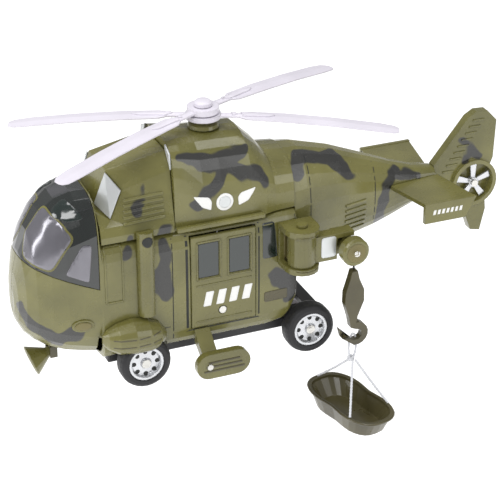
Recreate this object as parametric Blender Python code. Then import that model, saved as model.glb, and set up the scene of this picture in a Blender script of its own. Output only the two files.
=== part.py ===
"""Toy rescue helicopter with a working side winch, built as separate pieces.

Frame: nose toward -X, left side toward -Y, +Z up. The origin is on the rotor
axis, where a hand closes round the body. All driving sizes are in millimetres.
"""
import math

import bmesh
import bpy
from mathutils import Matrix, Vector

MM = 0.001

# Driving dimensions (mm). Heights are above the plane the wheels roll on.
HAND_Z = 100.0
GAP = 0.3
WALL = 2.2
ROTOR_R = 120.0
BLADE_CHORD = 13.0
LOWER_ANGLE = 155.0
UPPER_ANGLE = 205.0
TIP_DROOP = 8.5
HUB_Z = 158.4
WHEEL_R = 16.7
RIM_R = 11.4
TYRE_W = 12.0
TYRE_OUT = 39.5
AXLE_R = 1.5
FRONT_AXLE_X = -54.5
REAR_AXLE_X = 57.0
BODY_W = 33.0
RING_X = 190.0
RING_Z = 81.3
RING_R = 13.7
WINCH_PIN = (47.0, -45.0)
SPOOL_X = 77.5
SPOOL_Z = 77.5
HOOK_Y = -50.5
BASKET = (81.0, -50.0, -34.0)
BASKET_TURN = -78.0
BASKET_L = 70.0
BASKET_W = 35.0
BASKET_D = 13.5

OLIVE = (0.165, 0.140, 0.040)
DARK_OLIVE = (0.075, 0.065, 0.025)
BLACK = (0.012, 0.012, 0.014)
SMOKE = (0.02, 0.022, 0.026)
WHITE = (0.80, 0.79, 0.84)
SILVER = (0.55, 0.56, 0.58)
STRING = (0.78, 0.78, 0.80)
STEEL = (0.50, 0.50, 0.50)

for old in list(bpy.data.objects):
    bpy.data.objects.remove(old, do_unlink=True)

root = bpy.data.objects.new("toy", None)
bpy.context.scene.collection.objects.link(root)
root.location = (0.0, 0.0, -HAND_Z * MM)


def material(name, colour, rough=0.35, metal=0.0):
    mat = bpy.data.materials.new(name)
    mat.use_nodes = True
    shader = mat.node_tree.nodes["Principled BSDF"]
    shader.inputs["Base Color"].default_value = (*colour, 1.0)
    shader.inputs["Roughness"].default_value = rough
    shader.inputs["Metallic"].default_value = metal
    return mat


def add(name, verts, faces, look=None, origin=(0.0, 0.0, 0.0), smooth=30.0):
    """One object from points in mm; its own origin sits on its joint axis."""
    mesh = bpy.data.meshes.new(name)
    points = [[(v[i] - origin[i]) * MM for i in range(3)] for v in verts]
    mesh.from_pydata(points, [], faces)
    bm = bmesh.new()
    bm.from_mesh(mesh)
    bmesh.ops.remove_doubles(bm, verts=bm.verts, dist=1e-6)
    bmesh.ops.recalc_face_normals(bm, faces=bm.faces)
    bm.to_mesh(mesh)
    bm.free()
    if smooth:
        mesh.shade_smooth()
        mesh.set_sharp_from_angle(angle=math.radians(smooth))
    obj = bpy.data.objects.new(name, mesh)
    bpy.context.scene.collection.objects.link(obj)
    obj.parent = root
    obj.location = [c * MM for c in origin]
    if look:
        mesh.materials.append(material(name, *look))
    return obj


def guide(obj):
    obj.hide_render = True
    obj.display_type = "WIRE"
    return obj


def boolean(obj, other, how="DIFFERENCE"):
    mod = obj.modifiers.new(how.lower(), "BOOLEAN")
    mod.operation = how
    mod.solver = "EXACT"
    mod.object = guide(other)
    return obj


def ring_faces(rows, count, closed=True):
    """Quads that join equal rings, with an end face on the first and last."""
    faces = []
    span = count if closed else count - 1
    for r in range(rows - 1):
        for i in range(span):
            j = (i + 1) % count
            faces.append((r * count + i, r * count + j, (r + 1) * count + j, (r + 1) * count + i))
    faces.append(tuple(range(count)))
    faces.append(tuple((rows - 1) * count + i for i in range(count)))
    return faces


def loft(name, rings, look=None, origin=(0.0, 0.0, 0.0), smooth=30.0):
    verts = [p for ring in rings for p in ring]
    return add(name, verts, ring_faces(len(rings), len(rings[0])), look, origin, smooth)


def box(name, low, high, look=None, origin=(0.0, 0.0, 0.0), bevel=0.0):
    x0, y0, z0 = low
    x1, y1, z1 = high
    rings = [[(x0, y0, z), (x1, y0, z), (x1, y1, z), (x0, y1, z)] for z in (z0, z1)]
    obj = loft(name, rings, look, origin, 0.0)
    if bevel:
        mod = obj.modifiers.new("edges", "BEVEL")
        mod.width = bevel * MM
        mod.segments = 1
        mod.limit_method = "ANGLE"
    return obj


def prism(name, outline, axis, low, high, look=None, origin=(0.0, 0.0, 0.0), smooth=30.0):
    """Extrude a flat outline along axis; outline pairs are the other two axes in order."""
    rings = []
    for t in (low, high):
        ring = []
        for a, b in outline:
            point = [a, b]
            point.insert(axis, t)
            ring.append(tuple(point))
        rings.append(ring)
    return loft(name, rings, look, origin, smooth)


def disc(cx, cy, r, count=20, start=0.0, sweep=360.0):
    steps = count if sweep >= 360.0 else count - 1
    out = []
    for i in range(count):
        a = math.radians(start + sweep * i / steps)
        out.append((cx + r * math.cos(a), cy + r * math.sin(a)))
    return out


def turned(name, profile, axis, centre, look=None, origin=None, count=20, ring=False):
    """Turn (radius, along) points about axis through centre; ring closes on itself."""
    verts = []
    for i in range(count):
        a = 2.0 * math.pi * i / count
        for r, t in profile:
            point = [r * math.cos(a), r * math.sin(a)]
            point.insert(axis, t)
            verts.append(tuple(point[k] + centre[k] for k in range(3)))
    n = len(profile)
    faces = []
    for i in range(count):
        j = (i + 1) % count
        for k in range(n if ring else n - 1):
            m = (k + 1) % n
            faces.append((i * n + k, j * n + k, j * n + m, i * n + m))
    if not ring:
        faces.append(tuple(i * n for i in range(count)))
        faces.append(tuple(i * n + n - 1 for i in range(count)))
    return add(name, verts, faces, look, origin or centre)


def power(value, exponent):
    return math.copysign(abs(value) ** exponent, value)


def section(x, w, zb, zt, n, side, inset=0.0, cross=0.15, count=13):
    """Half of a rounded box section; side is -1 for left, +1 for right."""
    zm = 0.5 * (zb + zt)
    h = 0.5 * (zt - zb) - inset
    out = []
    for i in range(count):
        a = math.pi * (0.5 - i / (count - 1))
        y = (w - inset) * abs(math.cos(a)) ** (2.0 / n)
        if i in (0, count - 1):
            y = cross
        out.append((x, side * y, zm + h * power(math.sin(a), 2.0 / n)))
    return out


def whole(x, w, zb, zt, n, inset=0.0, count=24):
    zm = 0.5 * (zb + zt)
    h = 0.5 * (zt - zb) - inset
    out = []
    for i in range(count):
        a = 2.0 * math.pi * (i + 0.5) / count
        out.append((x, (w - inset) * power(math.cos(a), 2.0 / n), zm + h * power(math.sin(a), 2.0 / n)))
    return out


# ---- fuselage: two moulded halves, split on the middle plane ----
NOSE = [
    (-127.0, 5.0, 50.0, 66.0, 2.2),
    (-125.8, 11.0, 44.0, 77.0, 2.3),
    (-122.5, 18.0, 37.0, 92.0, 2.4),
    (-117.0, 23.5, 31.5, 106.0, 2.6),
    (-109.0, 28.0, 26.0, 118.0, 2.8),
    (-100.0, 31.0, 22.5, 125.5, 3.0),
    (-90.0, 32.5, 20.5, 129.0, 3.2),
    (-80.0, BODY_W, 20.0, 129.5, 3.8),
]
BODY = [
    (-78.8, BODY_W, 20.0, 100.0, 8.0),
    (30.0, BODY_W, 20.0, 100.0, 8.0),
    (44.0, 32.5, 22.0, 100.0, 8.0),
    (50.0, 31.0, 33.0, 100.0, 7.0),
]
INNER = [
    (-123.0, 17.0, 39.0, 90.0, 2.4),
    (-117.0, 23.5, 31.5, 106.0, 2.6),
    (-109.0, 28.0, 26.0, 118.0, 2.8),
    (-100.0, 31.0, 22.5, 125.5, 3.0),
    (-90.0, 32.5, 20.5, 129.0, 3.2),
    (-82.4, BODY_W, 20.0, 129.3, 3.8),
    (-81.8, BODY_W, 20.0, 100.0, 6.0),
    (30.0, BODY_W, 20.0, 100.0, 7.0),
    (42.5, 32.0, 22.0, 100.0, 7.0),
    (47.4, 31.0, 33.0, 100.0, 6.0),
]
CANOPY_SIDE = [(-80.6, 71.0), (-80.6, 140.0), (-140.0, 140.0), (-140.0, 97.0)]
CANOPY_IN = [(-81.0, 71.6), (-81.0, 139.0), (-139.0, 139.0), (-139.0, 97.1)]
DOOR = (-22.0, 21.0, 32.0, 95.0)

for side, word in ((-1, "left"), (1, "right")):
    shell = loft(f"fuselage_{word}_shell", [section(*s, side) for s in NOSE + BODY], (OLIVE, 0.3))
    hollow = loft(f"cut_room_{word}", [section(*s, side, WALL, -2.0) for s in INNER])
    boolean(shell, hollow)
    boolean(shell, prism(f"cut_canopy_{word}", CANOPY_SIDE, 1, -60.0, 60.0, smooth=0.0))
    y0, y1 = sorted((side * 24.0, side * 50.0))
    boolean(shell, box(f"cut_door_{word}", (DOOR[0] - 0.5, y0, DOOR[2] - 0.5), (DOOR[1] + 0.5, y1, DOOR[3] + 0.5)))
    for where, ax in (("front", FRONT_AXLE_X), ("rear", REAR_AXLE_X)):
        y0, y1 = sorted((side * 26.4, side * 60.0))
        boolean(shell, prism(f"cut_arch_{where}_{word}", disc(ax, WHEEL_R, 18.4, 24), 1, y0, y1))
    boolean(shell, box(f"cut_gears_{word}", (28.0, -11.5, 10.0), (56.0, 11.5, 29.0)))

canopy = loft("cockpit_canopy", [whole(*s) for s in NOSE], (SMOKE, 0.12))
boolean(canopy, prism("cut_canopy_keep", CANOPY_IN, 1, -61.0, 61.0, smooth=0.0), "INTERSECT")
boolean(canopy, loft("cut_canopy_room", [whole(*s, WALL) for s in INNER[:6]] + [whole(-70.0, BODY_W, 20.0, 129.3, 3.8, WALL)]))

# ---- engine cowling: stepped front with silver panels, round main part ----
COWL_FRONT = [
    [(-78.4, 13.0, 120.3), (-78.4, 23.0, 118.0), (-78.4, 29.5, 110.0), (-78.4, 31.5, 104.5), (-78.4, 31.5, 100.3)],
    [(-76.5, 14.0, 120.5), (-69.5, 25.0, 113.0), (-75.0, 29.5, 110.0), (-75.0, 31.5, 104.5), (-75.0, 31.5, 100.3)],
    [(-69.0, 15.5, 141.5), (-61.5, 24.0, 131.0), (-62.0, 29.5, 110.0), (-62.0, 31.5, 104.5), (-62.0, 31.5, 100.3)],
    [(-31.3, 16.5, 148.5), (-31.3, 24.5, 139.0), (-31.3, 29.8, 111.0), (-31.3, 31.5, 104.5), (-31.3, 31.5, 100.3)],
]


def cowl_ring(half, inset=0.0, drop=0.0, shift=0.0):
    left = [(x + shift, -(y - inset), z - drop) for x, y, z in half]
    right = [(x + shift, y - inset, z - drop) for x, y, z in reversed(half)]
    return left + right


cowl_front = loft("cowl_front", [cowl_ring(r) for r in COWL_FRONT], (OLIVE, 0.3), smooth=20.0)
rooms = [cowl_ring(COWL_FRONT[1], WALL, 4.0, 2.0), cowl_ring(COWL_FRONT[2], WALL, 3.0, 1.5),
         cowl_ring(COWL_FRONT[3], WALL, 2.5, -2.2)]
boolean(cowl_front, loft("cut_cowl_front", rooms, smooth=0.0))

MAIN = [
    (-30.7, 30.0, 153.5, 4.2),
    (-24.0, 30.5, 153.5, 3.6),
    (-12.0, 31.3, 152.8, 2.7),
    (0.0, 31.3, 152.5, 2.6),
    (20.0, 31.3, 151.5, 2.6),
    (30.0, 30.0, 142.0, 2.4),
    (37.0, 28.0, 133.5, 2.4),
    (50.0, 27.0, 132.2, 2.4),
]


def dome(x, w, top, n, inset=0.0, count=17):
    out = []
    for i in range(count):
        a = math.pi * i / (count - 1)
        y = (w - inset) * power(math.cos(a), 2.0 / n)
        z = 104.0 + (top - 104.0 - inset) * abs(math.sin(a)) ** (2.0 / n)
        out.append((x, y, z))
    out.append((x, -(w - inset), 100.0 + GAP - 2.0 * inset))
    out.append((x, w - inset, 100.0 + GAP - 2.0 * inset))
    return out


cowl_main = loft("cowl_main", [dome(*r) for r in MAIN], (OLIVE, 0.3))
inner_main = [(-28.4, 30.0, 153.0, 3.8)] + MAIN[1:7] + [(47.6, 27.0, 132.2, 2.4)]
boolean(cowl_main, loft("cut_cowl_main", [dome(*r, WALL) for r in inner_main]))

# Four silver panels: two on the angled front corners, two on the second step's face.
for side, word in ((-1, "left"), (1, "right")):
    corner = [Vector(COWL_FRONT[2][0]), Vector(COWL_FRONT[2][1]), Vector(COWL_FRONT[1][1]), Vector(COWL_FRONT[1][0])]
    face = (corner[1] - corner[0]).cross(corner[3] - corner[0]).normalized()
    if face.x > 0.0:
        face = -face
    middle = sum(corner, Vector()) / 4.0
    rings = []
    for lift in (0.7, 1.7):
        pts = [middle + (c - middle) * 0.93 + face * lift for c in corner]
        rings.append([(p.x, side * p.y, p.z) for p in pts])
    loft(f"cowl_panel_front_{word}", rings, (SILVER, 0.35), smooth=0.0)
    rear = [(side * 17.3, 152.6), (side * 24.4, 149.0), (side * 26.2, 139.6), (side * 17.9, 149.6)]
    rings = [[(x, y, z) for y, z in rear] for x in (-32.0, -31.0)]
    loft(f"cowl_panel_rear_{word}", rings, (SILVER, 0.35), smooth=0.0)

# ---- doors, rails, screws ----
for side, word in ((-1, "left"), (1, "right")):
    y0, y1 = sorted((side * 31.2, side * 33.8))
    door = box(f"door_{word}", (DOOR[0], y0, DOOR[2]), (DOOR[1], y1, DOOR[3]), (OLIVE, 0.35), bevel=0.5)
    y0, y1 = sorted((side * 33.0, side * 36.0))
    for k, wx in enumerate((-17.5, 3.0)):
        boolean(door, box(f"cut_window_{word}_{k}", (wx, y0, 66.0), (wx + 14.0, y1, 90.0)))
    boolean(door, prism(f"cut_door_screw_{word}", disc(-1.5, 41.5, 2.9, 14), 1, *sorted((side * 30.0, side * 40.0))))
    profile = [(1.5, side * 28.0), (1.5, side * 32.6), (2.5, side * 32.6), (2.5, side * 34.2)]
    turned(f"door_screw_{word}", profile, 1, (-1.5, 0.0, 41.5), (STEEL, 0.3, 1.0), count=14)
    y0, y1 = sorted((side * 31.9, side * 35.6))
    box(f"rail_{word}", (-31.0, y0, 100.6), (27.0, y1, 103.6), (OLIVE, 0.3), bevel=0.6)

# ---- struts, wheel pods, side pods ----
for side, word in ((-1, "left"), (1, "right")):
    arc = [(x, side * y) for x, y in disc(-51.5, 33.4, 5.4, 11, 0.0, 180.0)]
    prism(f"strut_{word}", arc, 2, 48.9, 106.0, (OLIVE, 0.3))
    pod = [(-81.0, 1.5, 34.0, 40.0), (-78.0, 6.5, 30.0, 43.5), (-72.0, 10.5, 26.5, 46.5), (-62.0, 12.6, 25.0, 48.3),
           (-52.0, 11.5, 24.6, 46.6), (-44.0, 7.5, 25.0, 42.0), (-39.5, 1.8, 29.0, 36.0)]
    rings = []
    for x, w, zb, zt in pod:
        half = section(x, w, zb, zt, 2.3, side, 0.0, 0.0, 11)
        rings.append([(px, py + side * (BODY_W + 0.4), pz) for px, py, pz in half])
    wheel_pod = loft(f"wheel_pod_{word}", rings, (OLIVE, 0.25))
    cutter = prism(f"cut_pod_{word}", disc(FRONT_AXLE_X, WHEEL_R, 18.2, 24), 1, *sorted((side * 20.0, side * 41.0)))
    boolean(wheel_pod, cutter)
    lobes = disc(-17.0, 12.5, 8.6, 13, 90.0, 180.0) + disc(1.5, 12.5, 8.6, 13, -90.0, 180.0)
    step = prism(f"side_pod_{word}", lobes, 1, *sorted((side * 46.0, side * 51.0)), (OLIVE, 0.3))
    reach = [(33.4, 31.0), (33.4, 22.5), (45.0, 15.0), (47.0, 15.0), (47.0, 19.5), (45.0, 21.0)]
    arm = prism(f"add_side_pod_{word}", [(side * y, z) for y, z in reach], 0, -20.5, -10.5, smooth=0.0)
    boolean(step, arm, "UNION")

# ---- tail: boom, fin with ring, stabilisers, tail rotor ----
BOOM = [
    (50.3, 27.0, 44.0, 131.8, 2.6),
    (60.0, 26.0, 52.0, 131.0, 2.5),
    (86.0, 20.5, 58.5, 124.0, 2.5),
    (115.0, 14.5, 64.5, 112.5, 2.5),
    (128.0, 12.0, 68.5, 107.0, 2.4),
    (145.0, 9.6, 75.0, 101.0, 2.4),
    (159.7, 8.0, 80.5, 97.8, 2.4),
]
boom = loft("tail_boom", [whole(*s) for s in BOOM], (OLIVE, 0.3))
boolean(boom, loft("cut_boom", [whole(49.0, *BOOM[0][1:], WALL)] + [whole(*s, WALL) for s in BOOM[1:6]]))

FIN = [(160.0, 98.0), (176.0, 118.0), (184.0, 128.0), (190.0, 131.5), (198.0, 131.0), (205.0, 123.5), (204.0, 97.0)]
FIN += disc(RING_X, RING_Z, 16.4, 9, 42.0, -96.0)
FIN += [(200.5, 60.0), (197.0, 44.5), (190.0, 46.0), (184.0, 62.0), (172.0, 75.0), (160.0, 81.0)]
fin = prism("tail_fin", FIN, 1, -3.2, 3.2, (OLIVE, 0.3), smooth=0.0)
boolean(fin, prism("add_fin_ring", disc(RING_X, RING_Z, 16.4, 28), 1, -5.6, 5.6), "UNION")
boolean(fin, prism("cut_fin_left", disc(RING_X, RING_Z, RING_R, 28), 1, -8.0, 0.4))
boolean(fin, prism("cut_fin_right", disc(RING_X, RING_Z, RING_R, 28), 1, 2.6, 8.0))
boolean(fin, prism("cut_fin_pin", disc(RING_X, RING_Z, 1.5, 12), 1, -1.0, 4.0))

tail_rotor = turned("tail_rotor", [(1.5, -4.6), (3.4, -4.6), (3.4, -0.4), (1.5, -0.4)], 1, (RING_X, 0.0, RING_Z),
                    (SILVER, 0.3), count=20, ring=True)
for k in range(5):
    a = math.radians(72.0 * k + 18.0)
    ca, sa = math.cos(a), math.sin(a)
    blade = [(2.4, -1.4), (12.6, -2.3), (12.6, 2.3), (2.4, 1.4)]
    flat = [(RING_X + r * ca - t * sa, RING_Z + r * sa + t * ca) for r, t in blade]
    boolean(tail_rotor, prism(f"add_tail_blade_{k}", flat, 1, -3.2, -1.8, smooth=0.0), "UNION")
turned("tail_rotor_pin", [(2.4, -6.2), (2.4, -5.0), (1.2, -5.0), (1.2, 4.2)], 1, (RING_X, 0.0, RING_Z),
       (STEEL, 0.3, 1.0), count=14)

for side, word in ((-1, "left"), (1, "right")):
    rings = []
    for z in (92.0, 94.6):
        plan = [(124.0, 13.3), (160.0, 8.7), (167.0, 45.6), (131.5, 45.6)]
        rings.append([(x, side * y, z) for x, y in plan])
    plane = loft(f"stabiliser_{word}", rings, (OLIVE, 0.3), smooth=0.0)
    plate = [(131.0, 95.0), (167.4, 95.0), (160.0, 81.5), (131.0, 81.5)]
    end = prism(f"add_end_plate_{word}", plate, 1, *sorted((side * 45.2, side * 48.0)), smooth=0.0)
    boolean(plane, end, "UNION")

# ---- belly plate with the bores the axles run in ----
belly = box("belly_plate", (-74.0, -22.0, 12.6), (74.0, 22.0, 19.6), (BLACK, 0.5), bevel=0.8)
for where, ax in (("front", FRONT_AXLE_X), ("rear", REAR_AXLE_X)):
    boolean(belly, prism(f"cut_bore_{where}", disc(ax, WHEEL_R, AXLE_R + 0.3, 16), 1, -30.0, 30.0))
boolean(belly, box("cut_gear_room", (30.5, -8.5, 5.0), (65.0, 8.5, 30.0)))

# ---- friction drive: gears shown as plain pitch discs ----
GEAR1_X = REAR_AXLE_X - 8.7
GEAR2_X = GEAR1_X - 8.7
turned("drive_axle_gear", [(AXLE_R + 0.3, -7.5), (6.0, -7.5), (6.0, -4.0), (AXLE_R + 0.3, -4.0)], 1,
       (REAR_AXLE_X, 0.0, WHEEL_R), (WHITE, 0.5), count=24, ring=True)
compound = [(1.0, -10.4), (1.0, -8.0), (2.4, -8.0), (2.4, -3.4), (6.0, -3.4), (6.0, 0.2), (1.0, 0.2), (1.0, 10.4)]
turned("drive_compound_gear", compound, 1, (GEAR1_X, 0.0, WHEEL_R), (WHITE, 0.5), count=24)
flywheel = [(1.0, -10.4), (1.0, -3.6), (2.4, -3.6), (2.4, 1.0), (7.2, 1.0), (7.2, 8.0), (1.0, 8.0), (1.0, 10.4)]
turned("drive_flywheel", flywheel, 1, (GEAR2_X, 0.0, WHEEL_R), (STEEL, 0.35, 1.0), count=24)
for k, gx in enumerate((GEAR1_X, GEAR2_X)):
    boolean(belly, prism(f"cut_arbor_{k}", disc(gx, WHEEL_R, 1.3, 12), 1, -10.8, 10.8))
housing = box("drive_housing", (29.0, -10.5, 22.9), (46.8, 10.5, 27.6), (BLACK, 0.5))
boolean(housing, box("cut_housing", (30.2, -9.2, 20.0), (48.0, 9.2, 26.2)))

# ---- wheels and axles ----
for where, ax in (("front", FRONT_AXLE_X), ("rear", REAR_AXLE_X)):
    centre = (ax, 0.0, WHEEL_R)
    turned(f"{where}_axle", [(AXLE_R, -36.4), (AXLE_R, 36.4)], 1, centre, (STEEL, 0.3, 1.0), count=12)
    for side, word in ((-1, "left"), (1, "right")):
        out = TYRE_OUT
        inn = TYRE_OUT - TYRE_W
        rim = [(0.05, inn + 9.6), (3.2, inn + 11.0), (3.6, inn + 9.6), (8.6, inn + 9.0), (9.8, inn + 11.4),
               (RIM_R, inn + 11.4), (RIM_R, inn + 0.8), (4.0, inn + 0.8), (AXLE_R + 0.3, inn + 0.8),
               (AXLE_R + 0.3, 36.9), (0.05, 36.9)]
        turned(f"{where}_rim_{word}", [(r, side * t) for r, t in rim[:1] + rim[1:]], 1, centre,
               (SILVER, 0.3, 0.6), count=24, ring=True)
        tyre = [(RIM_R + 0.3, inn), (14.2, inn), (16.0, inn + 1.2), (WHEEL_R, inn + 3.2), (WHEEL_R, out - 3.2),
                (16.0, out - 1.2), (14.2, out), (RIM_R + 0.3, out)]
        turned(f"{where}_tyre_{word}", [(r, side * t) for r, t in tyre], 1, centre, (BLACK, 0.6), count=32, ring=True)

# ---- rotor: fixed mast, lower pair, upper pair, cap ----
AXIS = (0.0, 0.0, 0.0)
mast = [(10.0, 152.9), (9.2, 155.0), (6.2, 156.0), (5.6, 158.0), (1.8, 158.0), (1.8, 168.6)]
turned("rotor_mast", mast, 2, AXIS, (OLIVE, 0.3), origin=(0.0, 0.0, HUB_Z), count=24)


def rotor(name, low, high, angle, outer):
    hub = turned(name, [(2.2, low), (outer, low), (outer, high), (2.2, high)], 2, AXIS, (WHITE, 0.35),
                 origin=(0.0, 0.0, low), count=28, ring=True)
    for half in (0, 1):
        turn = Matrix.Rotation(math.radians(angle + 180.0 * half), 3, "Z")
        rings = []
        stations = [(outer - 2.5, 0.42, 2.6), (22.0, 0.42, 2.6), (27.0, 0.9, 2.0), (50.0, 1.0, 1.8), (80.0, 1.0, 1.6),
                    (108.0, 1.0, 1.4), (117.0, 0.86, 1.3), (ROTOR_R, 0.5, 1.2)]
        for r, wide, thick in stations:
            drop = TIP_DROOP * (r / ROTOR_R) ** 2
            c = 0.5 * BLADE_CHORD * wide
            z = 0.5 * (low + high) - drop
            cut = [(r, -c, z - 0.2 * thick), (r, 0.0, z - 0.5 * thick), (r, c, z - 0.2 * thick),
                   (r, c, z + 0.2 * thick), (r, 0.0, z + 0.5 * thick), (r, -c, z + 0.2 * thick)]
            rings.append([tuple(turn @ Vector(p)) for p in cut])
        boolean(hub, loft(f"add_{name}_{half}", rings, smooth=50.0), "UNION")
    return hub


rotor("rotor_lower", HUB_Z, HUB_Z + 3.0, LOWER_ANGLE, 11.0)
rotor("rotor_upper", HUB_Z + 3.8, HUB_Z + 7.4, UPPER_ANGLE, 10.0)
turned("rotor_cap", [(2.1, 166.2), (5.6, 166.2), (5.6, 168.4), (4.4, 169.6), (0.05, 170.0), (0.05, 169.0), (2.1, 169.0)],
       2, AXIS, (WHITE, 0.35), origin=(0.0, 0.0, 166.2), count=20, ring=True)

# ---- searchlight under the nose ----
LAMP = Vector((-104.0, 0.0, 17.2))
lamp_dir = Vector((-math.cos(math.radians(20.0)), 0.0, -math.sin(math.radians(20.0))))
lamp_turn = lamp_dir.to_track_quat("Z", "Y").to_matrix()
cone = [(0.05, -2.6), (3.0, -2.6), (3.4, 3.0), (10.2, 14.0), (9.2, 14.6), (7.6, 14.0), (2.6, 4.6), (0.05, 4.2)]
verts, count = [], 20
for i in range(count):
    a = 2.0 * math.pi * i / count
    for r, t in cone:
        verts.append(tuple(LAMP + lamp_turn @ Vector((r * math.cos(a), r * math.sin(a), t))))
faces = []
for i in range(count):
    j = (i + 1) % count
    for k in range(len(cone)):
        m = (k + 1) % len(cone)
        faces.append((i * len(cone) + k, j * len(cone) + k, j * len(cone) + m, i * len(cone) + m))
add("searchlight", verts, faces, (OLIVE, 0.3), tuple(LAMP))
fork = box("searchlight_bracket", (-106.2, -5.6, 14.6), (-101.5, 5.6, 22.4), (DARK_OLIVE, 0.4))
boolean(fork, box("cut_fork", (-110.0, -4.4, 10.0), (-98.0, 4.4, 21.4)))

# ---- winch: fixed bracket, pin, swinging arm, spool, rope, hook ----
PX, PY = WINCH_PIN
plate = [(PX - 11.0, -33.5), (PX - 11.0, PY)] + disc(PX, PY, 11.0, 9, 180.0, 180.0)[1:-1] + [(PX + 11.0, PY), (PX + 11.0, -33.5)]
bracket = prism("winch_bracket", plate, 2, 66.0, 95.0, (OLIVE, 0.3))
boolean(bracket, box("cut_bracket", (PX - 14.0, -60.0, 69.6), (PX + 14.0, -35.6, 91.0)))
boolean(bracket, prism("cut_bracket_pin", disc(PX, PY, 2.2, 14), 2, 60.0, 100.0))
turned("winch_pin", [(3.6, 95.3), (3.6, 97.0), (0.05, 97.0), (0.05, 64.0), (1.8, 64.0), (1.8, 95.3)], 2, (PX, PY, 0.0),
       (OLIVE, 0.35), count=14, ring=True)

arm = turned("winch_arm", [(2.2, 70.0), (9.0, 70.0), (9.0, 90.6), (2.2, 90.6)], 2, (PX, PY, 0.0), (OLIVE, 0.3),
             origin=(PX, PY, 70.0), count=20, ring=True)
boolean(arm, box("add_arm_bar", (PX + 6.0, -50.0, 70.6), (SPOOL_X - 8.6, -42.0, 88.0)), "UNION")
boolean(arm, box("add_arm_back", (PX + 7.0, -44.0, 70.6), (SPOOL_X + 3.0, -41.0, 84.4)), "UNION")
boolean(arm, box("add_arm_top", (SPOOL_X - 10.0, -50.0, 84.9), (SPOOL_X + 3.0, -41.0, 88.0)), "UNION")
boolean(arm, prism("cut_arm_pin", disc(PX, PY, 2.2, 14), 2, 60.0, 100.0))
boolean(arm, prism("cut_arm_spool", disc(SPOOL_X, SPOOL_Z, 2.3, 14), 1, -60.0, -30.0))

spool = [(0.05, -59.6), (3.0, -60.2), (8.0, -60.2), (9.2, -59.0), (9.2, -53.4), (8.2, -52.6), (6.4, -52.6),
         (6.4, -51.8), (2.6, -51.8), (2.6, -46.2), (5.6, -46.2), (5.6, -44.6), (2.0, -44.6), (2.0, -40.2), (0.05, -40.2)]
turned("winch_spool", spool, 1, (SPOOL_X, 0.0, SPOOL_Z), (OLIVE, 0.3), count=20, ring=True)
turned("winch_spool_screw", [(0.05, -60.5), (2.0, -60.5), (2.0, -61.4), (0.05, -61.6)], 1, (SPOOL_X, 0.0, SPOOL_Z),
       (STEEL, 0.3, 1.0), count=12, ring=True)


def tube(name, points, radius, colour):
    curve = bpy.data.curves.new(name, "CURVE")
    curve.dimensions = "3D"
    curve.bevel_depth = radius * MM
    curve.bevel_resolution = 2
    curve.use_fill_caps = True
    line = curve.splines.new("POLY")
    line.points.add(len(points) - 1)
    for spot, p in zip(line.points, points):
        spot.co = (p[0] * MM, p[1] * MM, p[2] * MM, 1.0)
    obj = bpy.data.objects.new(name, curve)
    bpy.context.scene.collection.objects.link(obj)
    obj.parent = root
    curve.materials.append(material(name, colour, 0.8))
    return obj


HX = SPOOL_X + 3.7
tube("hoist_rope", [(HX, HOOK_Y + 1.5, z) for z in (75.5, 72.0, 68.0, 64.0, 60.5)], 0.7, BLACK)

# Hook: swivel eye, block body and an open hook, one flat moulding.
HOOK = [(-1.8, 60.0), (1.8, 60.0), (3.2, 54.0), (6.6, 46.0), (6.8, 38.0), (2.4, 27.0), (2.4, 24.0)]
HOOK += disc(2.0, 14.6, 8.2, 10, 95.0, -195.0)
HOOK += [(-7.6, 17.4), (-9.6, 19.6), (-8.0, 13.0)]
HOOK += disc(2.0, 14.0, 4.0, 8, -130.0, 225.0)[1:]
HOOK += [(-2.0, 19.6), (-3.2, 26.0), (-6.4, 37.0), (-6.2, 45.0), (-3.4, 54.0)]
rings = []
for t in (-2.6, 2.6):
    rings.append([(HX + u, HOOK_Y + 1.5 + t, z) for u, z in HOOK])
loft("hoist_hook", rings, (DARK_OLIVE, 0.35), (HX, HOOK_Y + 1.5, 60.0), 0.0)

# ---- rescue basket on its sling ----
BX, BY, BZ = BASKET
turn = Matrix.Rotation(math.radians(BASKET_TURN), 3, "Z")


def tray(scale, z, grow=0.0, count=28):
    out = []
    for i in range(count):
        a = 2.0 * math.pi * i / count
        u = 0.5 * BASKET_L * scale * power(math.cos(a), 0.72) + grow * math.cos(a)
        waist = 1.0 - 0.13 * math.exp(-((u / 11.0) ** 2))
        v = 0.5 * BASKET_W * scale * power(math.sin(a), 0.72) * waist + grow * math.sin(a)
        p = turn @ Vector((u, v, 0.0))
        out.append((BX + p.x, BY + p.y, z))
    return out


basket = loft("rescue_basket", [tray(0.74, BZ - BASKET_D), tray(0.8, BZ - BASKET_D + 1.0), tray(0.95, BZ - 2.0),
                                tray(1.0, BZ - 1.4), tray(1.0, BZ)], (DARK_OLIVE, 0.3), (BX, BY, BZ))
boolean(basket, loft("cut_tray", [tray(0.70, BZ - BASKET_D + 1.8), tray(0.92, BZ - 2.0), tray(0.93, BZ + 1.0)]))

KNOT = Vector((HX + 1.0, HOOK_Y + 1.0, -4.0))
LUGS = {"left": (-33.8, -1.5), "right": (20.0, 15.6), "front": (20.0, -15.6)}
for word, (u, v) in LUGS.items():
    foot = turn @ Vector((u, v, 0.0)) + Vector((BX, BY, BZ + 1.2))
    head = KNOT + (foot - KNOT).normalized() * 2.2
    tube(f"sling_{word}", [tuple(head.lerp(foot, t)) for t in (0.0, 0.5, 1.0)], 0.8, STRING)
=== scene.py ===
"""Visual model of the toy rescue helicopter, in the CAD model's frame."""
import math

import bmesh
import bpy
from mathutils import Matrix, Vector
from mathutils.bvhtree import BVHTree


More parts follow.
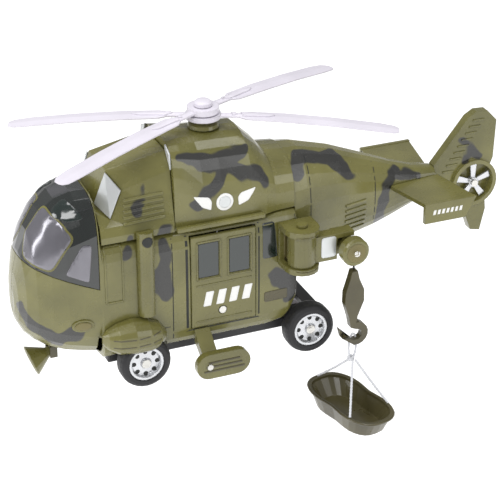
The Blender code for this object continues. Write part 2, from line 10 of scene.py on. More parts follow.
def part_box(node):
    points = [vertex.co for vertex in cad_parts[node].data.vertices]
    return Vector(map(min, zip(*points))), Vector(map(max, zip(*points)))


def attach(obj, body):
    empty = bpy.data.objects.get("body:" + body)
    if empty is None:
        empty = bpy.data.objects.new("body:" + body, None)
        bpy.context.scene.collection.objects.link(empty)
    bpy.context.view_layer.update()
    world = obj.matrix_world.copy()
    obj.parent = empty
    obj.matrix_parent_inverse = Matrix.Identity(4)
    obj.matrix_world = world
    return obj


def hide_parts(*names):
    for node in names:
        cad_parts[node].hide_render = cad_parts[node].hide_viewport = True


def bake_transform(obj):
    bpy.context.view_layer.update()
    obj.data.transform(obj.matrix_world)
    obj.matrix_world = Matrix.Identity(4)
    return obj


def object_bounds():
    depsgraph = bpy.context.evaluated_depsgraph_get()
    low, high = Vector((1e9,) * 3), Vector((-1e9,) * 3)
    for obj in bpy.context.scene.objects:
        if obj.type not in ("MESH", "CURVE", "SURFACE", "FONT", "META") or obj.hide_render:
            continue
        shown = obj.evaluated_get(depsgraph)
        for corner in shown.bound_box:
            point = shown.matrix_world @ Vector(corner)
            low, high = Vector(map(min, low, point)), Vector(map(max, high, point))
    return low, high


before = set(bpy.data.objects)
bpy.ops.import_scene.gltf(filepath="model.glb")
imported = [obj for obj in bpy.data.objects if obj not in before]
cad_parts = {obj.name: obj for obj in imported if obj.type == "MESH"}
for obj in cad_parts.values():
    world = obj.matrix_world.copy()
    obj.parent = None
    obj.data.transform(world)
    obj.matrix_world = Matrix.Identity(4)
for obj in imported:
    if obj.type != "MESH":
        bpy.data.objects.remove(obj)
scene = bpy.context.scene
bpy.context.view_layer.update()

MM = 0.001
HAND_Z = 100.0
UP = Vector((0.0, 0.0, 1.0))


def P(x, y, z):
    """A design point in mm above the wheels' plane, as a row-frame point in metres."""
    return Vector((x * MM, y * MM, (z - HAND_Z) * MM))


# ---------------------------------------------------------------- camera
AZ = math.radians(22.8)
EL = math.radians(27.35)
look = Vector((math.sin(AZ) * math.cos(EL), math.cos(AZ) * math.cos(EL), -math.sin(EL)))
right = Vector((math.cos(AZ), -math.sin(AZ), 0.0))
camera = bpy.data.objects.new("camera", bpy.data.cameras.new("camera"))
scene.collection.objects.link(camera)
scene.view_settings.view_transform = "Standard"
camera.data.lens = 136.8
camera.data.sensor_width = 36.0
camera.data.dof.use_dof = False
turn = Matrix((right, right.cross(look), -look)).transposed().to_4x4()
camera.matrix_world = Matrix.Translation(P(-387.7, -996.4, 619.6)) @ turn
scene.camera = camera


# ---------------------------------------------------------------- materials


class Nodes:
    """Short names for building a material's node tree."""

    def __init__(self, tree):
        self.tree = tree

    def make(self, kind, **settings):
        node = self.tree.nodes.new(kind)
        for key, value in settings.items():
            setattr(node, key, value)
        return node

    def link(self, out, into):
        self.tree.links.new(out, into)

    def math(self, op, a, b=0.0, c=0.0, clamp=False):
        node = self.make("ShaderNodeMath", operation=op, use_clamp=clamp)
        for i, v in enumerate((a, b, c)):
            if isinstance(v, (int, float)):
                node.inputs[i].default_value = v
            else:
                self.link(v, node.inputs[i])
        return node.outputs[0]

    def vector(self, op, a, b=None, scale=None):
        node = self.make("ShaderNodeVectorMath", operation=op)
        for i, v in enumerate((a, b)):
            if v is None:
                continue
            if hasattr(v, "links"):
                self.link(v, node.inputs[i])
            else:
                node.inputs[i].default_value = tuple(v)
        if scale is not None:
            self.link(scale, node.inputs["Scale"])
        return node.outputs["Value"] if op in ("DOT_PRODUCT", "LENGTH") else node.outputs["Vector"]

    def noise(self, where, scale, detail=3.0, rough=0.5):
        node = self.make("ShaderNodeTexNoise")
        self.link(where, node.inputs["Vector"])
        node.inputs["Scale"].default_value = scale
        node.inputs["Detail"].default_value = detail
        node.inputs["Roughness"].default_value = rough
        return node.outputs["Fac"]

    def mix(self, fac, a, b):
        node = self.make("ShaderNodeMix", data_type="RGBA")
        self.link(fac, node.inputs["Factor"])
        for name, v in (("A", a), ("B", b)):
            sock = [s for s in node.inputs if s.name == name and s.type == "RGBA"][0]
            if hasattr(v, "links"):
                self.link(v, sock)
            else:
                sock.default_value = (*v, 1.0)
        return [s for s in node.outputs if s.type == "RGBA"][0]

    def ramp(self, fac, low, high):
        node = self.make("ShaderNodeMapRange", interpolation_type="SMOOTHSTEP")
        self.link(fac, node.inputs["Value"])
        node.inputs["From Min"].default_value = low
        node.inputs["From Max"].default_value = high
        return node.outputs["Result"]


def plastic(name, colour, rough=0.3, metal=0.0, coat=0.0, grain=0.06, mottle=0.10, second=None, camo=None,
            fine=900.0):
    """Moulded plastic: slight colour drift, fine moulding texture, and a painted highlight that lightens the
    rounded edges.
    """
    mat = bpy.data.materials.new(name)
    mat.use_nodes = True
    n = Nodes(mat.node_tree)
    shader = mat.node_tree.nodes["Principled BSDF"]
    where = n.make("ShaderNodeTexCoord").outputs["Object"]
    drift = n.noise(where, 28.0, 4.0)
    darker = tuple(c * (1.0 - 2.2 * mottle) for c in colour)
    lighter = tuple(min(1.0, c * (1.0 + 1.2 * mottle)) for c in (second or colour))
    base = n.mix(n.ramp(drift, 0.3, 0.7), darker, lighter)
    if camo:
        base = n.mix(camo_mask(n, where, camo), base, CAMO_GREY)
    bevel = n.make("ShaderNodeBevel", samples=4)
    bevel.inputs["Radius"].default_value = 0.0008
    geo = n.make("ShaderNodeNewGeometry")
    # Rounded edges are mixed toward a paler colour: a painted highlight standing in for light caught on the
    # edges.
    edge = n.vector("DOT_PRODUCT", bevel.outputs["Normal"], geo.outputs["Normal"])
    edge_glint = n.ramp(n.math("SUBTRACT", 1.0, edge), 0.02, 0.35)
    glint_colour = tuple(min(1.0, c * 1.5 + 0.03) for c in colour)
    base = n.mix(n.math("MULTIPLY", edge_glint, 0.35), base, glint_colour)
    n.link(base, shader.inputs["Base Color"])
    smear = n.noise(where, 140.0, 3.0)
    n.link(n.math("MULTIPLY_ADD", smear, 0.16, rough - 0.08), shader.inputs["Roughness"])
    shader.inputs["Metallic"].default_value = metal
    shader.inputs["IOR"].default_value = 1.5
    shader.inputs["Coat Weight"].default_value = coat
    shader.inputs["Coat Roughness"].default_value = 0.12
    bump = n.make("ShaderNodeBump")
    bump.inputs["Strength"].default_value = grain
    bump.inputs["Distance"].default_value = 0.0003
    n.link(n.noise(where, fine, 2.0), bump.inputs["Height"])
    n.link(bevel.outputs["Normal"], bump.inputs["Normal"])
    n.link(bump.outputs["Normal"], shader.inputs["Normal"])
    return mat


CAMO_GREY = (0.028, 0.028, 0.026)
# Camouflage patches: chains of (x, y, z, radius) points in mm, joined as rounded bands.
CAMO = [
    [(-124, -12, 58, 5), (-118, -20, 44, 5.5), (-108, -25, 38, 6.5), (-98, -29, 41, 6.5)],
    [(-61, -33, 101, 4), (-63, -33, 92, 3)],
    [(-37, -33, 104, 5), (-39, -33, 88, 4.5), (-40, -33, 72, 6), (-39, -33, 62, 5.5)],
    [(-24, -22, 146, 4), (-12, -24, 140, 5), (4, -24, 138, 6), (18, -20, 143, 3)],
    [(4, -24, 138, 5), (-4, -28, 126, 5), (-16, -30, 116, 4.5)],
    [(8, -26, 134, 5), (24, -27, 126, 4.5), (30, -26, 118, 3)],
    [(12, 22, 143, 7), (-10, 24, 136, 8)],
    [(58, -15, 127, 5), (70, -13, 127, 5), (82, -12, 122, 5), (92, -15, 108, 5)],
    [(58, -15, 127, 5), (54, -22, 118, 4)],
    [(128, -6, 104, 4), (122, -9, 96, 5), (118, -10, 84, 5), (116, -9, 72, 4)],
    [(124, -8, 100, 4), (136, -6, 99, 4), (146, -7, 94, 3.5)],
    [(100, 12, 112, 7), (86, 16, 106, 8), (74, 20, 96, 6)],
    [(180, 0, 114, 4), (186, 0, 106, 3.4), (193, 0, 100, 3.2)],
    [(186, 0, 108, 4), (184, 0, 98, 3)],
    [(36, -33, 58, 7), (48, -31, 50, 7), (44, -32, 42, 5)],
    [(-60, 33, 70, 9), (-44, 33, 60, 7), (-30, 33, 74, 8)],
    [(-110, 24, 50, 8), (-96, 30, 60, 8), (-90, 32, 46, 6)],
    [(30, 33, 60, 9), (10, 33, 30, 6)],
    [(-54, -26, 118, 4), (-46, -20, 134, 3)],
]


def camo_mask(n, where, patches):
    """1 inside the camouflage patches, 0 outside, with slightly soft, wavy edges."""
    wave = n.make("ShaderNodeTexNoise")
    n.link(where, wave.inputs["Vector"])
    wave.inputs["Scale"].default_value = 75.0
    wave.inputs["Detail"].default_value = 1.0
    half = n.vector("SUBTRACT", wave.outputs["Color"], (0.5, 0.5, 0.5))
    shift = n.make("ShaderNodeVectorMath", operation="SCALE")
    n.link(half, shift.inputs[0])
    shift.inputs["Scale"].default_value = 0.010
    spot = n.vector("ADD", where, shift.outputs["Vector"])
    total = None
    for chain in patches:
        for a, b in zip(chain, chain[1:]):
            start, end = P(*a[:3]), P(*b[:3])
            along = end - start
            rel = n.vector("SUBTRACT", spot, start)
            t = n.math("DIVIDE", n.vector("DOT_PRODUCT", rel, along), along.length_squared, clamp=True)
            near = n.make("ShaderNodeVectorMath", operation="SCALE")
            near.inputs[0].default_value = tuple(along)
            n.link(t, near.inputs["Scale"])
            gap = n.vector("LENGTH", n.vector("SUBTRACT", rel, near.outputs["Vector"]))
            radius = n.math("MULTIPLY_ADD", t, (b[3] - a[3]) * MM, a[3] * MM)
            d = n.math("SUBTRACT", gap, radius)
            total = d if total is None else n.math("SMOOTH_MIN", total, d, 0.003)
    return n.math("SUBTRACT", 1.0, n.ramp(total, -0.0006, 0.0007))


OLIVE = plastic("olive_camo", (0.138, 0.130, 0.034), 0.26, coat=0.35, camo=CAMO, second=(0.150, 0.140, 0.040))
OLIVE_PLAIN = plastic("olive_plain", (0.142, 0.132, 0.036), 0.28, coat=0.3)
OLIVE_DARK = plastic("olive_dark", (0.070, 0.060, 0.024), 0.3, coat=0.2, mottle=0.15)
OLIVE_METAL = plastic("olive_metallic", (0.150, 0.128, 0.045), 0.3, metal=0.35, coat=0.2)
SMOKE = plastic("smoked_canopy", (0.009, 0.012, 0.011), 0.10, coat=0.8, grain=0.01)
# Windscreen and side windows: the dark smoked canopy given a pale silvery grey, a painted reflection of the
# studio light.
REFLECTION_GREY = plastic("windscreen", (0.19, 0.185, 0.21), 0.2, metal=0.6, coat=0.6, grain=0.01)
GLASS = plastic("dark_window", (0.008, 0.016, 0.014), 0.10, coat=0.9, grain=0.01)
WHITE = plastic("blade_white", (0.66, 0.63, 0.70), 0.34, grain=0.04, mottle=0.03)
DECAL = plastic("white_print", (0.80, 0.80, 0.78), 0.4, grain=0.02, mottle=0.02)
SILVER = plastic("silver_paint", (0.62, 0.64, 0.64), 0.36, metal=0.55, mottle=0.03, grain=0.12, fine=1600.0)
CHROME = plastic("rim_silver", (0.60, 0.61, 0.63), 0.24, metal=0.85, mottle=0.04, grain=0.03)
STEEL = plastic("screw_steel", (0.62, 0.61, 0.58), 0.25, metal=1.0, mottle=0.05, grain=0.05)
BLACK = plastic("chassis_black", (0.012, 0.012, 0.014), 0.45, grain=0.15)
TYRE = plastic("tyre_rubber", (0.010, 0.010, 0.012), 0.55, grain=0.35, mottle=0.12, fine=1500.0)
# Near-black for the seam lines and strut caps, and painted shade on the rim discs that stand in for the rims'
# holes.
BLACK_DETAIL_AND_HOLE_SHADE = plastic("black_detail_and_hole_shade", (0.010, 0.012, 0.010), 0.5)


def string_material(name, colour):
    """Twisted string: a fine grainy bump, slightly fuzzy colour and a little sheen."""
    mat = plastic(name, colour, 0.75, grain=0.5, mottle=0.08, fine=2500.0)
    mat.node_tree.nodes["Principled BSDF"].inputs["Sheen Weight"].default_value = 0.3
    return mat


STRING = string_material("string_white", (0.74, 0.75, 0.79))
ROPE = string_material("rope_dark", (0.020, 0.018, 0.014))


# ---------------------------------------------------------------- mesh helpers


def make(name, verts, faces, mat, body, smooth=30.0, bevel=0.0, segments=2, recalc=True):
    mesh = bpy.data.meshes.new(name)
    mesh.from_pydata([tuple(P(*v)) for v in verts], [], faces)
    bm = bmesh.new()
    bm.from_mesh(mesh)
    bmesh.ops.remove_doubles(bm, verts=bm.verts, dist=1e-7)
    if recalc:
        bmesh.ops.recalc_face_normals(bm, faces=bm.faces)
    bm.to_mesh(mesh)
    bm.free()
    obj = bpy.data.objects.new(name, mesh)
    scene.collection.objects.link(obj)
    if mat:
        mesh.materials.append(mat)
    if bevel:
        round_edges(obj, bevel, segments)
    if smooth:
        mesh.shade_smooth()
        mesh.set_sharp_from_angle(angle=math.radians(smooth))
    if body:
        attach(obj, body)
    return obj


def bake(obj):
    """Apply the object's modifiers to its mesh."""
    graph = bpy.context.evaluated_depsgraph_get()
    graph.update()
    fresh = bpy.data.meshes.new_from_object(obj.evaluated_get(graph))
    old = obj.data
    obj.modifiers.clear()
    obj.data = fresh
    bpy.data.meshes.remove(old)
    return obj


def round_edges(obj, width, segments=2, angle=30.0):
    mod = obj.modifiers.new("edges", "BEVEL")
    mod.width = width * MM
    mod.segments = segments
    mod.limit_method = "ANGLE"
    mod.angle_limit = math.radians(angle)
    mod.harden_normals = False
    bake(obj)
    obj.data.shade_smooth()
    obj.data.set_sharp_from_angle(angle=math.radians(40.0))
    return obj


def bands(rows, count, caps=True):
    faces = []
    for r in range(rows - 1):
        for i in range(count):
            j = (i + 1) % count
            faces.append((r * count + i, r * count + j, (r + 1) * count + j, (r + 1) * count + i))
    if caps:
        faces.append(tuple(range(count)))
        faces.append(tuple((rows - 1) * count + i for i in range(count)))
    return faces


def look_of(node, mat):
    """A CAD node that keeps its shape gets this material."""
    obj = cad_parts[node]
    for s in range(len(obj.material_slots)):
        obj.material_slots[s].material = mat
    return obj


# ---------------------------------------------------------------- carried-over nodes
FIXED = "airframe"
for node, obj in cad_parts.items():
    mat = OLIVE_PLAIN
    if node.startswith(("fuselage", "cowl_main", "cowl_front", "tail_boom", "tail_fin")):
        mat = OLIVE
    elif "panel" in node:
        mat = SILVER
    elif "tyre" in node:
        mat = TYRE
    elif "rim" in node or node == "tail_rotor":
        mat = CHROME
    elif "screw" in node or node.endswith("axle") or node in ("tail_rotor_pin", "drive_flywheel"):
        mat = STEEL
    elif node in ("belly_plate", "drive_housing"):
        mat = BLACK
    elif node == "cockpit_canopy":
        mat = SMOKE
    elif node.startswith("rotor_") and node != "rotor_mast" or node.endswith("_gear"):
        mat = WHITE
    elif node.startswith("sling"):
        mat = STRING
    elif node == "hoist_rope":
        mat = ROPE
    elif node in ("hoist_hook", "rescue_basket", "searchlight_bracket"):
        mat = OLIVE_DARK
    look_of(node, mat)

# ---------------------------------------------------------------- pieces that lie on the CAD surfaces
trees = {}


def surface(nodes):
    """A ray-casting tree of some CAD nodes' surfaces."""
    if nodes not in trees:
        verts, faces = [], []
        for node in nodes:
            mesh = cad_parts[node].data
            base = len(verts)
            verts += [v.co.copy() for v in mesh.vertices]
            faces += [[base + i for i in p.vertices] for p in mesh.polygons]
        trees[nodes] = BVHTree.FromPolygons(verts, faces)
    return trees[nodes]


def skin(name, outline, nodes, mat, body, lift=0.0, thick=0.5, side=-1, step=3.0, aim=None, bevel=0.0):
    """A thin plate that follows the CAD surface inside an outline of (x, z) or (x, y, z) points, in mm."""
    tree = surface(nodes)
    toward = Vector(aim or (0.0, -side, 0.0)).normalized()
    u = UP.cross(toward).normalized()
    v = toward.cross(u)
    spots = [P(*p) if len(p) == 3 else P(p[0], 0.0, p[1]) for p in outline]
    bm = bmesh.new()
    bm.faces.new([bm.verts.new(p - toward * (p.dot(toward) + 0.4)) for p in spots])
    for axis in (u, v):
        values = [p.dot(axis) for p in spots]
        at = min(values) + step * MM
        while at < max(values):
            bmesh.ops.bisect_plane(bm, geom=bm.verts[:] + bm.edges[:] + bm.faces[:], plane_co=axis * at,
                                   plane_no=axis)
            at += step * MM
    missed = []
    for vert in bm.verts:
        hit = tree.ray_cast(vert.co, toward)[0]
        if hit is None:
            missed.append(vert)
        else:
            vert.co = hit - toward * (lift * MM - 0.0001)
    bmesh.ops.delete(bm, geom=missed, context="VERTS")
    if not bm.faces:
        bm.free()
        return None
    bmesh.ops.triangulate(bm, faces=[f for f in bm.faces if len(f.verts) > 4])
    grown = bmesh.ops.extrude_face_region(bm, geom=bm.faces[:])["geom"]
    for vert in [g for g in grown if isinstance(g, bmesh.types.BMVert)]:
        vert.co -= toward * (thick * MM)
    bmesh.ops.recalc_face_normals(bm, faces=bm.faces)
    mesh = bpy.data.meshes.new(name)
    bm.to_mesh(mesh)
    bm.free()
    mesh.materials.append(mat)
    obj = bpy.data.objects.new(name, mesh)
    scene.collection.objects.link(obj)
    mesh.shade_smooth()
    mesh.set_sharp_from_angle(angle=math.radians(40.0))
    if bevel:
        round_edges(obj, bevel, 2, 50.0)
    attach(obj, body)
    return obj


def strip(x0, z0, x1, z1, width):
    """The four corners of a straight band from one point to another."""
    along = Vector((x1 - x0, z1 - z0)).normalized()
    across = Vector((-along.y, along.x)) * width * 0.5
    return [(x0 + across.x, z0 + across.y), (x0 - across.x, z0 - across.y),
            (x1 - across.x, z1 - across.y), (x1 + across.x, z1 + across.y)]


def oval(cx, cz, a, b, count=32):
    return [(cx + a * math.cos(2 * math.pi * i / count), cz + b * math.sin(2 * math.pi * i / count))
            for i in range(count)]


def rounded(points, r, steps=4):
    """An outline with its corners rounded; points are (x, z) or (x, y, z)."""
    pts = [Vector(p) for p in points]
    out = []
    for i, p in enumerate(pts):
        a, b = pts[i - 1] - p, pts[(i + 1) % len(pts)] - p
        cut_a = p + a.normalized() * min(r, a.length * 0.45)
        cut_b = p + b.normalized() * min(r, b.length * 0.45)
        for k in range(steps + 1):
            t = k / steps
            out.append(tuple((1 - t) ** 2 * cut_a + 2 * t * (1 - t) * p + t * t * cut_b))
    return out


def sweep(name, path, radius, mat, body, closed=False, sides=12, twist=0.0):
    """A round or twisted cord mesh along a path in mm."""
    pts = [Vector(p) for p in path]
    n = len(pts)
    normal = None
    run = 0.0
    verts = []
    for i, p in enumerate(pts):
        a = pts[i - 1] if closed or i else p
        b = pts[(i + 1) % n] if closed or i < n - 1 else p
        t = (b - a).normalized()
        normal = t.orthogonal() if normal is None else normal
        normal = (normal - t * normal.dot(t)).normalized()
        across = t.cross(normal)
        run += (p - pts[i - 1]).length if i else 0.0
        for k in range(sides):
            q = 2.0 * math.pi * k / sides
            r = radius * (1.0 if not twist else 0.9 + 0.14 * math.cos(2.0 * (q - twist * run)))
            verts.append(tuple(p + r * (math.cos(q) * normal + math.sin(q) * across)))
    faces = bands(n, sides, caps=not closed)
    if closed:
        faces += [((n - 1) * sides + k, (n - 1) * sides + (k + 1) % sides, (k + 1) % sides, k)
                  for k in range(sides)]
    return make(name, verts, faces, mat, body, 60.0)


CANOPY = ("cockpit_canopy",)
for s, word in ((-1, "left"), (1, "right")):
    shell = ("fuselage_%s_shell" % word,)
    door = ("door_" + word,)
    front = ("cowl_front",)
    main = ("cowl_main",)
    boom = ("tail_boom",)
    screen = [(-105.4, 5.5, 120.7), (-100.3, 22.5, 116), (-94.2, 28.5, 106.6), (-107.8, 26.3, 86.5),
              (-121.2, 10.7, 92.1), (-118.6, 5, 104.2)]
    pane = [(x, s * y, z) for x, y, z in screen]
    aim = (0.75, -s * 0.6, -0.22)
    skin("windscreen_" + word, rounded(pane, 4.0), CANOPY, REFLECTION_GREY, FIXED, 0.1, 0.4, s, 2.5, aim, 0.15)
    mid = sum((Vector(p) for p in pane), Vector()) / len(pane)
    halo = [tuple(mid + (Vector(p) - mid) * 1.07) for p in pane]
    skin("windscreen_edge_" + word, rounded(halo, 4.4), CANOPY, OLIVE_PLAIN, FIXED, 0.0, 0.25, s, 2.5, aim)
    side_pane = [(-101.4, 84.6), (-90.2, 102.6), (-84.6, 102.0), (-87.2, 77.6)]
    skin("side_window_" + word, rounded(side_pane, 2.0), CANOPY, REFLECTION_GREY, FIXED, 0.1, 0.35, s, 2.5,
         bevel=0.12)
    roof = [(-103.8, 13.6, 120.2), (-94.8, 11.6, 126.2), (-86.8, 27.2, 117.5), (-97.5, 24.5, 116),
            (-103.6, 18.3, 117.7)]
    roof_aim = (0.3, -s * 0.55, -0.78)
    skin("roof_window_" + word, rounded([(x, s * y, z) for x, y, z in roof], 3.0), CANOPY, GLASS, FIXED,
         0.1, 0.5, s, 2.5, roof_aim, 0.15)
    for k, (x0, x1) in enumerate(((-17.1, -3.9), (3.4, 16.6))):
        skin("door_window_%d_%s" % (k, word),
             rounded([(x0, 66.4), (x1, 66.4), (x1, 89.6), (x0, 89.6)], 1.2), door, GLASS, FIXED, 0.05, 0.5, s)
        fore, aft = x0 - 1.2, x1 + 1.2
        for m, band in enumerate(((fore, 65.0, aft, 65.0), (fore, 91.0, aft, 91.0), (fore, 65.0, fore, 91.0),
                                  (aft, 65.0, aft, 91.0))):
            skin("door_window_bead_%d_%d_%s" % (k, m, word), strip(*band, 1.0), door, OLIVE_PLAIN, FIXED, 0.0,
                 0.5, s, 4.0)
    for k in range(4):
        x = -14.5 + 8.6 * k
        skin("door_bar_%d_%s" % (k, word),
             rounded([(x, 46), (x + 5.2, 46), (x + 7.4, 56), (x + 2.2, 56)], 0.6), door, DECAL, FIXED,
             0.02, 0.12, s)
    for k, z in enumerate((61.0, 36.0)):
        skin("door_rib_%d_%s" % (k, word), strip(-19, z, 18, z, 0.9), door, OLIVE_PLAIN, FIXED, 0.0, 0.4, s)
    for k, band in enumerate(((-34, 24, -34, 98, 0.6), (-24.6, 30, -24.6, 97, 1.6), (23.4, 30, 23.4, 97, 0.9),
                              (-24, 30.6, 23, 30.6, 0.9), (-78, 36, -36, 36, 0.5), (50, 34, 49, 96, 0.5))):
        skin("body_seam_%d_%s" % (k, word), strip(*band), shell, BLACK_DETAIL_AND_HOLE_SHADE, FIXED, 0.0, 0.14, s)
    for k, band in enumerate(((-77, 61, -66, 61, 1.2), (-77, 98, -66, 98, 1.2), (-77, 61, -77, 98, 1.2),
                              (-66, 61, -66, 98, 1.2))):
        skin("body_frame_%d_%s" % (k, word), strip(*band), shell, OLIVE, FIXED, 0.0, 0.6, s, bevel=0.15)
    skin("rear_window_" + word, rounded([(26, 71), (36, 71), (34, 95), (26, 95)], 1.5), shell, GLASS, FIXED,
         0.05, 0.25, s)
    skin("rear_recess_" + word, rounded([(27, 40), (43, 40), (43, 47), (27, 47)], 1.5), shell, OLIVE_DARK,
         FIXED, 0.05, 0.3, s)
    skin("nose_lamp_rim_" + word, oval(-92, 48, 6.8, 4.4), shell, OLIVE_PLAIN, FIXED, 0.0, 1.1, s, 2.0,
         bevel=0.4)
    skin("nose_lamp_" + word, oval(-92, 48, 5.2, 3.0), shell, OLIVE_METAL, FIXED, 1.1, 0.5, s, 2.0, bevel=0.2)
    for k in range(5):
        z = 110.6 + 3.5 * k
        skin("cowl_louvre_%d_%s" % (k, word), strip(-63.5 + 0.4 * k, z, -37.0, z + 1.2, 1.7), front, OLIVE,
             FIXED, 0.0, 0.9, s, bevel=0.25)
    skin("cowl_disc_" + word, oval(1.5, 114.3, 5.6, 5.6), main, DECAL, FIXED, 0.05, 0.3, s, 2.0)
    skin("cowl_disc_centre_" + word, oval(1.5, 114.3, 3.9, 3.9), main, SILVER, FIXED, 0.3, 0.3, s, 2.0)
    for k, wing in enumerate((((-19, 121.1), (-8.7, 119), (-7, 116), (-7.6, 110.4), (-13.4, 113.2)),
                              ((10.6, 110.4), (10.2, 116), (12.4, 118.6), (22.4, 120.4), (17, 112.8)))):
        skin("cowl_wing_%d_%s" % (k, word), rounded(wing, 1.2), main, DECAL, FIXED, 0.05, 0.4, s, 2.0)
    for k in range(6):
        z = 70.5 + 3.8 * k
        skin("boom_louvre_%d_%s" % (k, word), strip(89, z, 105, z + 0.4, 1.8), boom, OLIVE, FIXED, 0.0,
             0.8, s, bevel=0.25)
    for k, x in enumerate((62.0, 112.0)):
        skin("boom_seam_%d_%s" % (k, word), strip(x, 46, x, 131, 0.6), boom, BLACK_DETAIL_AND_HOLE_SHADE, FIXED, 0.0, 0.14, s)
    for k in range(9):
        z = 92.0 + 4.2 * k
        x = 166.5 + 0.62 * (z - 92.0)
        skin("fin_rib_%d_%s" % (k, word), strip(x, z, x + 8.5, z, 1.3), ("tail_fin",), OLIVE, FIXED, 0.0,
             0.7, s, bevel=0.2)
    for k in range(7):
        x = 136.5 + 3.1 * k
        skin("end_plate_dash_%d_%s" % (k, word), [(x, 87), (x + 1.9, 87), (x + 2.6, 90.2), (x + 0.7, 90.2)],
             ("stabiliser_" + word,), DECAL, FIXED, 0.02, 0.15, s)
    for axle, cx in (("front", -54.5), ("rear", 57.0)):
        # Dark discs on each rim face in place of its holes: painted shade for the hollow of each hole.
        for k in range(8):
            a = math.pi * k / 4.0
            hole = oval(cx + 7.6 * math.cos(a), 16.7 + 7.6 * math.sin(a), 1.5, 1.5, 16)
            skin("%s_rim_hole_%s_%d" % (axle, word, k), hole, ("%s_rim_%s" % (axle, word),), BLACK_DETAIL_AND_HOLE_SHADE,
                 axle + "_wheels", 0.0, 0.15, s, 2.0)
        skin("%s_hub_cap_%s" % (axle, word), oval(cx, 16.7, 3.0, 3.0), ("%s_rim_%s" % (axle, word),), STEEL,
             axle + "_wheels", 0.0, 0.9, s, 2.0, bevel=0.35)
    if s < 0:
        skin("winch_plate", rounded([(39, 68.5), (55, 68.5), (55, 92), (39, 92)], 2.0), ("winch_bracket",),
             OLIVE_METAL, FIXED, 0.0, 0.7, s, bevel=0.25)


# Rotor: raised root boxes along each blade, and ribs on the side pods.
for node, body in (("rotor_lower", "rotor_low"), ("rotor_upper", "rotor_top")):
    low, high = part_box(node)
    hub_z = high[2] / MM + HAND_Z
    angle = math.radians(155.0 if node == "rotor_lower" else 205.0)
    for k, turn in enumerate((0.0, math.pi)):
        c, q = math.cos(angle + turn), math.sin(angle + turn)
        plate = [(r * c - w * q, r * q + w * c, hub_z)
                 for r, w in ((17, -3.2), (40, -2.0), (44, 0), (40, 2.0), (17, 3.2))]
        skin("blade_root_%d_%s" % (k, node[6:]), plate, (node,), WHITE, body, 0.0, 0.9, -1, 3.0,
             (0.0, 0.001, -1.0), 0.25)
for s, word in ((-1, "left"), (1, "right")):
    for k in range(3):
        skin("side_pod_rib_%d_%s" % (k, word),
             strip(-21 + 1.5 * k, 9.4 + 3.0 * k, 6 - 1.5 * k, 9.4 + 3.0 * k, 1.1),
             ("side_pod_" + word,), OLIVE_DARK, FIXED, 0.0, 0.5, s, bevel=0.15)
    skin("side_pod_screw_" + word, oval(-17, 12.5, 2.0, 2.0), ("side_pod_" + word,), STEEL, FIXED, 0.3, 0.5,
         s, 2.0, bevel=0.2)
    for k in range(2):
        skin("wheel_pod_line_%d_%s" % (k, word),
             strip(-76, 34 + 5 * k, -45, 34 + 5 * k, 0.7), ("wheel_pod_" + word,),
             OLIVE_DARK, FIXED, 0.0, 0.2, s)
    skin("strut_cap_" + word, oval(-51.5, 100.5, 3.4, 3.4), ("strut_" + word,), BLACK_DETAIL_AND_HOLE_SHADE, FIXED, 0.0, 0.6,
         s, 2.0, bevel=0.25)
skin("knob_face", oval(77.5, 77.5, 6.4, 6.4), ("winch_spool", "winch_spool_screw"), OLIVE_METAL,
     "winch_spool", 0.0, 0.3, -1, 2.0)
skin("winch_hub", rounded([(58, 73), (68, 73), (68, 87), (58, 87)], 2.0), ("winch_arm",), SILVER,
     "winch_arm", 0.0, 0.5, -1, 3.0, bevel=0.2)

# ---------------------------------------------------------------- rope, strings and basket rim


def ends(node):
    """The middle of a node's top and bottom ends, in design mm."""
    spots = [v.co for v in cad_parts[node].data.vertices]
    top, low = max(p.z for p in spots), min(p.z for p in spots)
    out = []
    for keep in ([p for p in spots if p.z > top - 0.0008], [p for p in spots if p.z < low + 0.0008]):
        p = sum(keep, Vector()) / len(keep)
        out.append(Vector((p.x / MM, p.y / MM, p.z / MM + HAND_Z)))
    return out


rope_top, rope_low = ends("hoist_rope")
SPOOL = (77.5, 77.5)
WIND_R = rope_top.x - SPOOL[0]
wind = []
for i in range(73):
    a = 2.0 * math.pi * (i / 24.0)
    wind.append((SPOOL[0] + WIND_R * math.cos(a), rope_top.y - 1.5 * (3.0 - i / 24.0),
                 SPOOL[1] - WIND_R * math.sin(a)))
drop = [(rope_top.x, rope_top.y, SPOOL[1] - (SPOOL[1] - rope_low.z) * i / 24.0) for i in range(1, 25)]
rope_path = wind + drop
rope = sweep("hoist_cord", rope_path, 0.7, ROPE, None, twist=1.6)
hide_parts("hoist_rope")
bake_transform(rope)

first = ends("sling_left")[0]
loop_path = [(first.x + 0.8 + 2.6 * math.sin(2 * math.pi * i / 40),
              first.y + 0.4 * math.cos(2 * math.pi * i / 40),
              first.z + 9.0 + 9.2 * -math.cos(2 * math.pi * i / 40)) for i in range(40)]
loop = sweep("sling_loop", loop_path, 0.75, STRING, "hook", closed=True, twist=1.6)
knot = sweep("sling_knot", [(first.x + 1.5 * math.cos(t * 0.42) * (1.0 + 0.25 * math.sin(t * 1.3)),
                             first.y + 1.5 * math.sin(t * 0.42), first.z + 1.1 * math.sin(t * 0.63))
                            for t in range(0, 45)], 0.85, STRING, "hook", twist=1.6)
for node in ("sling_left", "sling_right", "sling_front"):
    top, low = ends(node)
    path = [tuple(top.lerp(low, i / 60.0) - UP * 0.5 * math.sin(math.pi * i / 60.0)) for i in range(61)]
    cord = sweep(node + "_cord", path, 0.8, STRING, None, twist=1.6)
    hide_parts(node)
    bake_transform(cord)

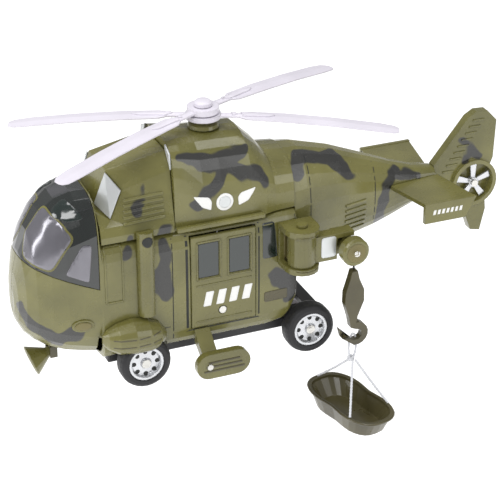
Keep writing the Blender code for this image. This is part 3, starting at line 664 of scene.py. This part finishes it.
centre = Vector((81.0, -50.0, 0.0))
rim_z = -34.0
around = []
for i in range(72):
    a = 2.0 * math.pi * i / 72
    ray = Vector((math.cos(a), math.sin(a), 0.0))
    hit = surface(("rescue_basket",)).ray_cast(P(centre.x, centre.y, rim_z - 0.8) + ray * 0.08, -ray)[0]
    if hit:
        around.append((hit.x / MM, hit.y / MM, rim_z - 0.5))
sweep("basket_lip", around, 0.9, OLIVE_DARK, "basket", closed=True, sides=14)

# ---------------------------------------------------------------- stage and lights
lo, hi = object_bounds()
bpy.ops.mesh.primitive_plane_add(size=12.0, location=(0.0, 0.0, lo[2] - 0.12))
floor = bpy.context.object
floor.name = "floor"
paper = bpy.data.materials.new("paper")
paper.use_nodes = True
paper.node_tree.nodes["Principled BSDF"].inputs["Base Color"].default_value = (0.92, 0.92, 0.92, 1.0)
paper.node_tree.nodes["Principled BSDF"].inputs["Roughness"].default_value = 0.9
paper.node_tree.nodes["Principled BSDF"].inputs["Specular IOR Level"].default_value = 0.0
paper.node_tree.nodes["Principled BSDF"].inputs["Emission Color"].default_value = (1.0, 1.0, 1.0, 1.0)
paper.node_tree.nodes["Principled BSDF"].inputs["Emission Strength"].default_value = 0.4
floor.data.materials.append(paper)


def area(name, spot, aim, size, watts, colour=(1.0, 1.0, 1.0)):
    lamp = bpy.data.lights.new(name, "AREA")
    lamp.shape = "RECTANGLE"
    lamp.size, lamp.size_y = size
    lamp.energy = watts
    lamp.color = colour
    obj = bpy.data.objects.new(name, lamp)
    scene.collection.objects.link(obj)
    obj.location = spot
    obj.rotation_euler = (Vector(aim) - Vector(spot)).to_track_quat("-Z", "Y").to_euler()
    return obj


area("key_softbox", (-0.9, -0.9, 1.3), (0.0, 0.0, 0.0), (0.9, 0.9), 17.0)
area("top_softbox", (0.1, 0.1, 1.5), (0.0, 0.0, 0.0), (1.2, 0.8), 13.0)
area("fill_left", (0.9, -1.2, 0.5), (0.0, 0.0, 0.0), (0.7, 0.9), 4.5)
area("nose_strip", (-1.3, 0.1, 0.4), (-0.05, 0.0, 0.0), (0.25, 0.9), 5.0)
world = bpy.data.worlds.new("studio")
scene.world = world
world.use_nodes = True
world.node_tree.nodes["Background"].inputs["Color"].default_value = (1.0, 1.0, 1.0, 1.0)
world.node_tree.nodes["Background"].inputs["Strength"].default_value = 0.4
